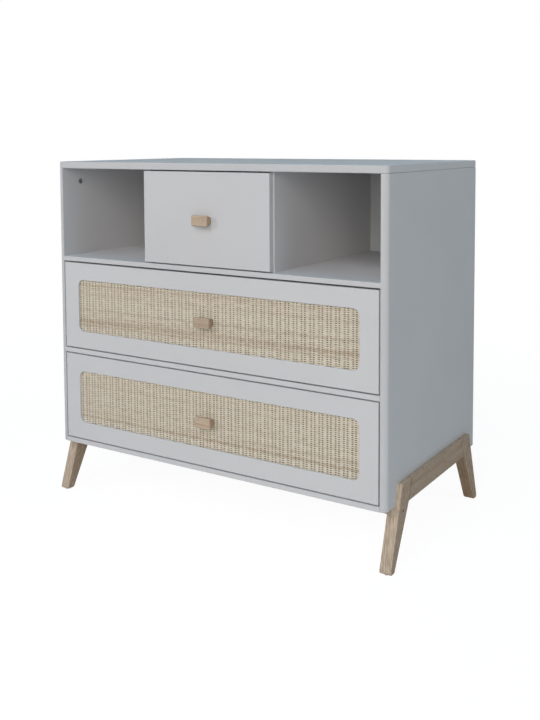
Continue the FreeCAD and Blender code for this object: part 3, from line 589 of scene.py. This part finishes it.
def rail_joint(name):
    """The middle of a rail, half its length there and its shortening per metre of height."""
    points = mesh_points(name)
    low, high = points.min(0), points.max(0)
    bottom = points[points[:, 2] < low[2] + RAIL_SLICE][:, 1]
    top = points[points[:, 2] > high[2] - RAIL_SLICE][:, 1]
    long_half, short_half = np.ptp(bottom) / 2, np.ptp(top) / 2
    lean = (long_half - short_half) / (high[2] - low[2])
    return Vector(0.5 * (low + high)), float(long_half + short_half) / 2, float(lean)


for name in ("front_left_leg", "rear_left_leg"):
    print(f"{name} leans {math.degrees(leg_lean(name)):.1f} degrees")

# %% Lay the grain along every leg and rail
ALONG_X, ALONG_Y = (0.0, math.pi / 2, 0.0), (math.pi / 2, 0.0, 0.0)
LEG_HEART_Y = {"front": -0.33, "rear": 0.36}
LEG_HEART_BESIDE, LEG_HEART_Z = 0.035, 0.1
LEG_FLECKS = 0.36
# painted shade on the rear legs' front faces, under the chest
REAR_LEG_FRONT_SHADE = (0.63, 0.56, 0.49, 1.0)
RAIL_HEART_BESIDE, RAIL_HEART_ABOVE = 0.05, 0.06
CROSS_HEART_BEFORE, CROSS_HEART_ABOVE = 0.04, 0.05

for side in ("left", "right"):
    for end, heart_y in LEG_HEART_Y.items():
        leg = f"{end}_{side}_leg"
        low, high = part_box(leg)
        heart = ((low.x + high.x) / 2 - LEG_HEART_BESIDE, heart_y, LEG_HEART_Z)
        front_shade = REAR_LEG_FRONT_SHADE if end == "rear" else WHITE
        dress(oak(f"oak_{leg}", OAK_LIGHT, OAK_DARK, (leg_lean(leg), 0.0, 0.0), heart,
                  flecks=LEG_FLECKS, front_shade=front_shade), [leg])
    rail = f"{side}_leg_rail"
    low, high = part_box(rail)
    heart = ((low.x + high.x) / 2 - RAIL_HEART_BESIDE, 0.0, high.z + RAIL_HEART_ABOVE)
    dress(oak(f"oak_{rail}", OAK_LIGHT, OAK_DARK, ALONG_Y, heart, joint=rail_joint(rail)), [rail])

low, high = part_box("front_cross_rail")
heart = (0.0, low.y - CROSS_HEART_BEFORE, high.z + CROSS_HEART_ABOVE)
dress(oak("oak_cross_rail", OAK_LIGHT, OAK_DARK, ALONG_X, heart), ["front_cross_rail"])
print("the cross rail's grain runs round y", round(heart[1], 3), "and z", round(heart[2], 3))

# %% [markdown]
# ### Knobs and dowels
#
# The knobs are cut from narrow stock with close rings and no flecks, and each is a little paler or
# deeper than the next. The dowels inside the carcass are turned from a yellower wood, beech.

# %% Finish the knobs and dowels
KNOB_LIGHT, KNOB_DARK = swatch(193, 173, 152), swatch(152, 130, 109)
KNOB_TONES = {"top_drawer": 1.0, "upper_drawer": 0.94, "lower_drawer": 1.1}
KNOB_RINGS_PER_METRE = 110.0
KNOB_HEART_BEFORE, KNOB_HEART_BELOW = 0.03, 0.02
BEECH_LIGHT, BEECH_DARK = swatch(214, 190, 150), swatch(190, 162, 120)
ORIGIN = (0.0, 0.0, 0.0)

for drawer, tone in KNOB_TONES.items():
    low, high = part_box(f"{drawer}_knob")
    heart = (0.0, low.y - KNOB_HEART_BEFORE, low.z - KNOB_HEART_BELOW)
    dress(oak(f"oak_{drawer}_knob", toned(KNOB_LIGHT, tone), toned(KNOB_DARK, tone), ALONG_X,
              heart, KNOB_RINGS_PER_METRE, flecks=0.0), [f"{drawer}_knob"])
dress(oak("beech_dowels", BEECH_LIGHT, BEECH_DARK, ALONG_X, ORIGIN), ["wood_dowels"])
print("the knobs' tones are", KNOB_TONES)

# %% [markdown]
# ## Steel, zinc and plastic
#
# The slides are rolled zinc-plated steel with fine lines along their length, the screws are dark
# plated, bronzed where they show in the oak, the cam locks are cast zinc, and the glides under the
# feet are plastic, moulded in the tone of the wood. Each gets the mark of how it was made: drawn
# lines, a mottled plating, a grainy casting or a fine matt.

# %% Plate the metal and mould the glides
MARK_DETAIL = (4.0, 0.6)
DULLER_TONE = 0.8
SMOOTHER, ROUGHER = 0.8, 1.25
SLIDES = [f"{drawer}_{part}" for drawer in DRAWERS for part in ("cabinet_slides", "slide_members")]
SCREWS = ["leg_frame_screws", "back_panel_screws", *(f"{drawer}_knob_screw" for drawer in DRAWERS)]
METALS = {  # colour, roughness, metallic, stretch, marks to the metre, their height and nodes
    "rolled_steel": (swatch(205, 206, 208), 0.32, 1.0, (1.0, 0.02, 1.0), 700.0, 0.00002, SLIDES),
    "dark_plating": (swatch(92, 88, 84), 0.42, 0.85, EVENLY, 500.0, 0.00003, SCREWS),
    "bronzed_plating": (swatch(84, 68, 54), 0.55, 0.3, EVENLY, 500.0, 0.00003,
                        ["cross_rail_screws"]),
    "cast_zinc": (swatch(184, 186, 188), 0.48, 1.0, EVENLY, 900.0, 0.00005, ["cam_locks"]),
    "bolt_zinc": (swatch(190, 191, 192), 0.35, 1.0, (0.1, 1.0, 1.0), 900.0, 0.00003,
                  ["cam_bolts"]),
    "moulded_glide": (swatch(142, 128, 110), 0.6, 0.0, EVENLY, 1200.0, 0.00003, ["foot_glides"]),
}


def metal(name, colour, roughness, metallic, stretch, marks_per_metre, height):
    """A surface whose fine marks vary its colour, gloss and relief."""
    finish, tree, shader = start_finish(name, roughness, metallic)
    marks = noise(tree, stretched(tree, stretch), marks_per_metre, *MARK_DETAIL)
    tone = blend_colours(tree, from_noise(tree, marks), toned(colour, DULLER_TONE), colour)
    tree.links.new(tone, shader.inputs["Base Color"])
    gloss = from_noise(tree, marks, roughness * SMOOTHER, roughness * ROUGHER)
    tree.links.new(gloss, shader.inputs["Roughness"])
    relief(tree, shader, marks, height)
    return finish


for name, (*recipe, nodes) in METALS.items():
    dress(metal(name, *recipe), nodes)
print(sum(len(row[-1]) for row in METALS.values()), "nodes of fittings finished")

# %% [markdown]
# ## Rattan
#
# A woven front is a sheet of rattan: flat upright ribbons of four thin reeds, and level strands of
# split cane that pass in front of one ribbon and behind the next. Neighbouring strands do the
# opposite, so each ribbon shows every second strand, with small dark openings beside it where the
# others dive, and half-way between two ribbons all strands lie tight in one smooth pale stripe.
# The sheet is stiff and flat, glued round its edge, so it is made as solid strands, not as cloth.

# %% Measure the two weaves
STRAND_STEP, STRAND_DEPTH = 0.00242, 0.0010
RISE_ROOM = 0.0025  # height left free at each edge, behind the front, for the rise of the rows


def weave_box(drawer):
    """The lowest and highest corner of the plate that the frame has in place of a weave."""
    low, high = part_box(f"{drawer}_rattan_panel")
    return np.array(low), np.array(high)


def row_count(low, high):
    """How many strands fit between the corners of a weave's box."""
    return int((high[2] - low[2] - 2 * RISE_ROOM) / STRAND_STEP)


for drawer in WEAVES:
    low, high = weave_box(drawer)
    width, thickness, height = (high - low) * 1000
    print(f"{drawer}: {width:.0f} by {height:.1f} mm, {thickness:.1f} mm thick,",
          row_count(low, high), "strands")

# %% [markdown]
# ### Tubes
#
# Strands and reeds are both thin tubes of six-sided section. All the tubes of a kind become one
# mesh, because each object is a piece of its own, and hundreds of those would be slow to handle.
# Their points are one array of rings, which foreach_set puts into the mesh, with a wall between
# neighbouring rings and a flat face over each end, so that every tube is closed.

# %% Skin a grid of rings
OVAL = np.radians([0, 62, 118, 180, 242, 298])  # where a ring's points lie round its line


def skin_rings(name, rings, finish, **marks):
    """One closed mesh from many tubes.

    rings is an array (tubes, rings along a tube, points round it, 3). Neighbouring rings are
    joined by quads, point j of ring i to point j + 1 of ring i + 1, and each end ring is closed by
    one face. Each mark has one value for each ring, and becomes an attribute of its points.
    """
    tubes, along, around, _ = rings.shape
    count = tubes * along * around
    index = np.arange(count).reshape(tubes, along, around)
    after = np.roll(index, -1, axis=2)
    walls = np.stack([index[:, :-1], after[:, :-1], after[:, 1:], index[:, 1:]], axis=-1)
    walls = walls.reshape(-1, 4)
    caps = np.concatenate([index[:, 0, ::-1], index[:, -1]])
    corners = np.concatenate([walls.ravel(), caps.ravel()])
    sizes = np.concatenate([np.full(len(walls), 4), np.full(len(caps), around)])
    starts = np.concatenate([[0], np.cumsum(sizes)[:-1]])
    smooth = np.concatenate([np.ones(len(walls), bool), np.zeros(len(caps), bool)])

    mesh = bpy.data.meshes.new(name)
    mesh.vertices.add(count)
    mesh.vertices.foreach_set("co", rings.astype(np.float32).ravel())
    mesh.loops.add(len(corners))
    mesh.loops.foreach_set("vertex_index", corners.astype(np.int32))
    mesh.polygons.add(len(sizes))
    mesh.polygons.foreach_set("loop_start", starts.astype(np.int32))
    mesh.polygons.foreach_set("use_smooth", smooth)
    mesh.update(calc_edges=True)
    mesh.validate()
    for mark, values in marks.items():
        attribute = mesh.attributes.new(mark, "FLOAT", "POINT")
        attribute.data.foreach_set("value", np.repeat(values.ravel(), around).astype(np.float32))
    mesh.materials.append(finish)
    piece = bpy.data.objects.new(name, mesh)
    bpy.context.scene.collection.objects.link(piece)
    return piece


print("each ring has", len(OVAL), "points")

# %% [markdown]
# ### The weave's own rhythm
#
# Hand-fed cane is never perfectly regular. The ribbons stand a little off their even spacing, and
# the rows rise and fall together by up to two and a half millimetres. All of it is drawn from a
# seeded generator, so the weave is the same each time.

# %% Draw the ribbons and rows
RIBBON_WANDER = 0.0004
ROW_CLIMB, CLIMB_WIDTH = 0.0016, 0.4  # the rows climb by so much over such a width
ROW_WAVES = ((0.0005, 7.0, 1.0), (0.00025, 19.0, 0.0))  # height, radians to the metre and start


def ribbon_places(random, low, high, first, step):
    """X of every ribbon: even steps that meet the first one, each moved by a random wander."""
    count = int((high - low) / step) + 3
    start = first - step * math.ceil((first - low) / step)
    return start + step * np.arange(count) + random.normal(size=count) * RIBBON_WANDER


def row_rise(x):
    """How far all rows rise at x, in metres: a slight slope and two slow waves."""
    rise = ROW_CLIMB * x / CLIMB_WIDTH
    for height, turning, start in ROW_WAVES:
        rise = rise + height * np.sin(turning * x + start)
    return rise


rises = [round(float(row_rise(x)) * 1000, 1) for x in (-CLIMB_WIDTH, 0.0, CLIMB_WIDTH)]
print("at the left, in the middle and at the right the rows are raised by", rises, "mm")

# %% [markdown]
# ### The tones of the rows
#
# Each strand has its own tone, which drifts along it. Cane from one hank is laid in several rows at
# once, so tones come in soft level bands, and a few chosen bands are clearly browner.

# %% Draw the tones
HANK_ROWS, HANK_SPREAD = 3, 0.04
STRAND_SPREAD = 0.12
DRIFT, DRIFT_RATES, FULL_TURN = 0.08, (2, 9), 6.3
BAND_MEAN, BAND_SWING, BAND_RATE, BAND_SHIFT = 0.85, 0.3, 3.0, 40


def smooth_random(random, count, width):
    """Random values near 0, each the mean of its neighbours, brought to a spread of 1.

    The neighbours are weighted by a bell of the given width.
    """
    reach = np.arange(-3 * width, 3 * width + 1)
    bell = np.exp(-0.5 * (reach / width) ** 2)
    values = np.convolve(random.normal(size=count + len(reach) - 1), bell, mode="valid")
    return values / values.std()


def strand_tones(random, rows, x, bands):
    """The tone of each strand along x, from -1 brown to 1 pale.

    It sums up the tone of its hank and its own, a slow drift along x and the chosen bands, which
    sink by their depth times a bell over the height, and swing a little along x.
    """
    hanks = smooth_random(random, rows, HANK_ROWS) * HANK_SPREAD
    single = random.normal(size=rows) * STRAND_SPREAD
    rate = random.uniform(*DRIFT_RATES, (rows, 1))
    drift = np.sin(x[None] * rate + random.uniform(0, FULL_TURN, (rows, 1))) * DRIFT
    height = (np.arange(rows) / (rows - 1))[:, None]
    band = sum(depth * np.exp(-0.5 * ((height - place) / width) ** 2)
               for place, width, depth in bands)
    swing = BAND_MEAN + BAND_SWING * np.sin(BAND_RATE * x[None] + BAND_SHIFT * height)
    return (hanks + single)[:, None] + drift - band * swing


print("single strands differ in tone by", STRAND_SPREAD, "and hanks by", HANK_SPREAD)

# %% [markdown]
# ### Strands
#
# A strand's path is one function of x. Between two ribbons all strands lie side by side, a little
# in front of the middle. Near a ribbon a smooth step parts them: every second one comes to the
# front and the others dive behind, and at the next ribbon they change places. Its section is a flat
# oval of split cane. Where a strand dives it is narrower and painted darker, a painted shade in the
# hollow beside the ribbon, which the attribute shade marks. Even and odd strands become two pieces,
# which together hold the panel's whole height, so that neither mesh grows too heavy.

# %% Follow the strands
SAMPLES_PER_STEP = 9
PARTED, CLOSED = 0.0042, 0.0078  # distances from a ribbon
STRIPE_LEVEL = 0.45  # how far the pale stripes lie before the middle, as a share of the lift
HALF_STEP, MORE_IN_FRONT, LESS_BEHIND = 0.495, 0.04, 0.10  # half a strand's height, in steps


def parting(counted, step):
    """How far strands are parted, and the sign of the nearest ribbon.

    The parting is 1 near a ribbon and 0 half-way to the next, by the smooth step 3t^2 - 2t^3.
    """
    nearest = np.round(counted)
    t = np.clip((CLOSED - step * np.abs(counted - nearest)) / (CLOSED - PARTED), 0, 1)
    return t * t * (3 - 2 * t), np.where(nearest % 2 == 0, 1.0, -1.0)


def strand_rings(rows_z, sides, x, middle_y, lift, counted, step, depth_of_shade):
    """Rings of every strand and the shade of each ring.

    front is 1 before a ribbon, -1 behind it and 0 between two. Then
    y = middle - lift (front + stripe (1 - parting)) and z = row + rise(x), and the flat oval round
    that line is half a step high, more in front and less behind. The shade is -front where a
    strand is behind, times the depth of shade that it has at each ribbon.
    """
    parted, sign = parting(counted, step)
    front = sides[:, None] * (sign * parted)[None]
    ahead, behind = np.maximum(front, 0), np.maximum(-front, 0)
    level = front + STRIPE_LEVEL * (1 - parted)[None]
    half_height = STRAND_STEP * (HALF_STEP + MORE_IN_FRONT * ahead - LESS_BEHIND * behind)
    line_z = rows_z[:, None] + row_rise(x)[None]
    rings = np.empty((len(rows_z), len(x), len(OVAL), 3))
    rings[..., 0] = x[None, :, None]
    rings[..., 1] = (middle_y - lift * level)[..., None] - STRAND_DEPTH / 2 * np.sin(OVAL)
    rings[..., 2] = line_z[..., None] + half_height[..., None] * np.cos(OVAL)
    last = depth_of_shade.shape[1] - 1
    at_ribbon = depth_of_shade[:, np.clip(np.round(counted).astype(int), 0, last)]
    return rings, behind * at_ribbon


print(f"strands part over {(CLOSED - PARTED) * 1000:.1f} mm on each side of a ribbon")

# %% [markdown]
# ### Reeds
#
# A ribbon is four thin reeds side by side, which stand upright in the middle of the weave's
# thickness and wander together by a tenth of a millimetre or so.

# %% Set the reeds
REED_WIDTH, REEDS = 0.00125, 4
REED_RINGS, REED_BEND = 6, 0.00012


def reed_rings(places, low, high, middle_y, random):
    """Rings of every reed: upright six-sided tubes, REEDS of them side by side at each ribbon."""
    offsets = (np.arange(REEDS) - (REEDS - 1) / 2) * REED_WIDTH
    middle_x = (places[:, None] + offsets[None]).ravel()
    z = np.linspace(low[2], high[2], REED_RINGS)
    bend = random.normal(size=(len(places), len(z))) * REED_BEND
    rings = np.empty((len(middle_x), len(z), len(OVAL), 3))
    across = middle_x[:, None] + np.repeat(bend, REEDS, axis=0)
    rings[..., 0] = across[..., None] + REED_WIDTH / 2 * np.sin(OVAL)
    rings[..., 1] = middle_y - REED_WIDTH / 2 * np.cos(OVAL)
    rings[..., 2] = z[None, :, None]
    return rings


print(f"a ribbon is {REEDS * REED_WIDTH * 1000:.1f} mm wide")

# %% [markdown]
# ### The cane's surface
#
# Split cane is pale straw with fine fibres along it, a faint shine on its peel and a browner tone
# in some rows. Where a strand dives behind a ribbon it is darkened towards a deep brown, a painted
# shade. The tone attribute of each strand picks a colour from brown to straw, and stretched noise
# adds the fibres: along X on the strands and along Z on the reeds. The reeds have no shade
# attribute, which counts as 0.

# %% Mix the cane
CANE_BROWN, CANE_MIDDLE = swatch(184, 163, 136), swatch(227, 218, 200)
# the last colour is painted shade, for strands where they dive behind a ribbon
CANE_PALE, CANE_SHADE = swatch(237, 231, 219), swatch(128, 102, 74)
CANE_STEPS = ((0.0, CANE_BROWN), (0.5, CANE_MIDDLE), (1.0, CANE_PALE))
CANE_ROUGHNESS, CANE_GLOSS = 0.5, (0.42, 0.6)
CANE_FIBRES, CANE_FIBRE_MIX = (1400.0, 3.0, 0.6), (0.5, 0.8, 0.0, 0.45)
CANE_FIBRE_HEIGHT = 0.00006
CANE_PATCHES, PATCH_STRETCH, PATCH_TONES = (60.0, 2.0), (1.0, 1.0, 2.0), (-0.18, 0.18)
TONE_RANGE, SHADE_RANGE = (-1.0, 1.0), (0.0, 0.8)


def colour_steps(tree, value, steps):
    """A colour ramp: steps are pairs of a position and a colour."""
    ramp = tree.nodes.new("ShaderNodeValToRGB")
    tree.links.new(value, ramp.inputs[0])
    elements = ramp.color_ramp.elements
    while len(elements) < len(steps):
        elements.new(0.5)
    for element, (position, colour) in zip(elements, steps):
        element.position = position
        element.color = colour
    return ramp.outputs[0]


def cane(name, stretch):
    """Cane coloured by its tone and shade attributes, with stretched fibres."""
    finish, tree, shader = start_finish(name, CANE_ROUGHNESS)
    tone = add_node(tree, "Attribute", {}, attribute_name="tone").outputs["Fac"]
    shade = add_node(tree, "Attribute", {}, attribute_name="shade").outputs["Fac"]
    fibres = noise(tree, stretched(tree, stretch), *CANE_FIBRES)
    patches = noise(tree, stretched(tree, PATCH_STRETCH), *CANE_PATCHES)
    mottled = calculate(tree, "ADD", from_noise(tree, patches, *PATCH_TONES), tone)
    ground = colour_steps(tree, spread(tree, mottled, *TONE_RANGE), CANE_STEPS)
    lined = blend_colours(tree, spread(tree, fibres, *CANE_FIBRE_MIX), ground, CANE_BROWN)
    # painted shade: the shade attribute darkens diving strands
    shaded = blend_colours(tree, spread(tree, shade, *SHADE_RANGE), lined, CANE_SHADE)
    tree.links.new(shaded, shader.inputs["Base Color"])
    tree.links.new(from_noise(tree, fibres, *CANE_GLOSS), shader.inputs["Roughness"])
    relief(tree, shader, fibres, CANE_FIBRE_HEIGHT)
    return finish


strand_cane = cane("split_cane", (0.05, 1.0, 1.0))
reed_cane = cane("reed_core", (1.0, 1.0, 0.05))
print("mixed", strand_cane.name, "and", reed_cane.name)

# %% [markdown]
# ### Both weaves
#
# The two weaves differ in where their first ribbon stands, how far apart the ribbons are, which
# rows come to the front there, and where their browner bands run. Each piece rides on its drawer in
# place of the plain plate, so a drawer that slides out takes its weave along.

# %% Give each weave its rows and ribbons
ROW_BANDS = {  # height in the weave from 0 to 1, half width and depth of each band, paler below 0
    "upper_drawer": ((0.268, 0.028, 0.75), (0.2, 0.02, 0.28), (0.475, 0.02, 0.2),
                     # the last band darkens the top rows, a few millimetres under the window's top
                     # edge
                     (0.745, 0.03, 0.2), (0.89, 0.018, 0.75)),
    "lower_drawer": ((0.18, 0.022, 0.6), (0.295, 0.014, 0.4), (0.435, 0.028, 0.3),
                     (0.1, 0.022, -0.6)),
}
FIRST_RIBBON = {"upper_drawer": 0.4062, "lower_drawer": 0.4034}  # the X of one ribbon
RIBBON_STEP = {"upper_drawer": 0.0221, "lower_drawer": 0.02105}
FRONT_ROWS = {"upper_drawer": 1, "lower_drawer": 0}  # 1 if the odd rows are in front at ribbon 0
ROW_SHIFT = {"upper_drawer": -0.00095, "lower_drawer": 0.0001}  # how far all rows are moved up
for drawer in WEAVES:
    print(f"{drawer}: a ribbon every {RIBBON_STEP[drawer] * 1000:.1f} mm")

# %% Make both weaves
FIRST_SEED = 20
FACE_PLAY, END_PLAY, REED_PLAY = 0.00005, 0.0004, 0.003  # kept free inside the plate's box
SHADE_MEAN, SHADE_SPREAD, SHADE_LOW, SHADE_HIGH = 0.85, 0.3, 0.2, 1.3
REED_TONE_SPREAD = 0.2


def hang(piece, drawer):
    """Lets a piece ride on its drawer in place of the plain plate."""
    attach(piece, drawer)
    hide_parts(f"{drawer}_rattan_panel")


for order, drawer in enumerate(WEAVES):
    random = np.random.default_rng(FIRST_SEED + order)
    low, high = weave_box(drawer)
    middle_y = (low[1] + high[1]) / 2
    lift = (high[1] - low[1]) / 2 - STRAND_DEPTH / 2 - FACE_PLAY
    step = RIBBON_STEP[drawer]
    rows = row_count(low, high)
    rows_up = (np.arange(rows) - (rows - 1) / 2) * STRAND_STEP
    rows_z = (low[2] + high[2]) / 2 + rows_up + ROW_SHIFT[drawer]
    places = ribbon_places(random, low[0] - step, high[0] + step, FIRST_RIBBON[drawer], step)
    x = np.arange(low[0] + END_PLAY, high[0] - END_PLAY, step / SAMPLES_PER_STEP)
    counted = np.interp(x, places, np.arange(len(places)))
    tones = strand_tones(random, rows, x, ROW_BANDS[drawer])
    sides = np.where(np.arange(rows) % 2 == FRONT_ROWS[drawer], 1.0, -1.0)
    shades = random.normal(SHADE_MEAN, SHADE_SPREAD, (rows, len(places)))
    shades = np.clip(shades, SHADE_LOW, SHADE_HIGH)
    rings, shade = strand_rings(rows_z, sides, x, middle_y, lift, counted, step, shades)
    for label, first in (("even", 0), ("odd", 1)):
        piece = skin_rings(f"{drawer}_{label}_strands", rings[first::2], strand_cane,
                           tone=tones[first::2], shade=shade[first::2])
        hang(piece, drawer)
        print(piece.name, len(piece.data.polygons), "faces")
    inside = places[(places > low[0] + REED_PLAY) & (places < high[0] - REED_PLAY)]
    reeds = reed_rings(inside, low, high, middle_y, random)
    reed_tones = np.repeat(random.normal(size=len(reeds)) * REED_TONE_SPREAD, reeds.shape[1])
    piece = skin_rings(f"{drawer}_reeds", reeds, reed_cane, tone=reed_tones)
    hang(piece, drawer)
    print(piece.name, len(reeds), "reeds")

# %% [markdown]
# ## The result
#
# The picture is taken with plain colours: the Standard view keeps each finish as it was written.
# The weave's rows are two pixels high in it, so the noise filter gets its guide pictures
# unsmoothed, and doesn't wipe the rows away.
# The dressed chest has to stay inside the frame's box.

# %% Set the colour view and the noise filter
bpy.context.scene.view_settings.view_transform = "Standard"
bpy.context.scene.cycles.denoising_prefilter = "NONE"
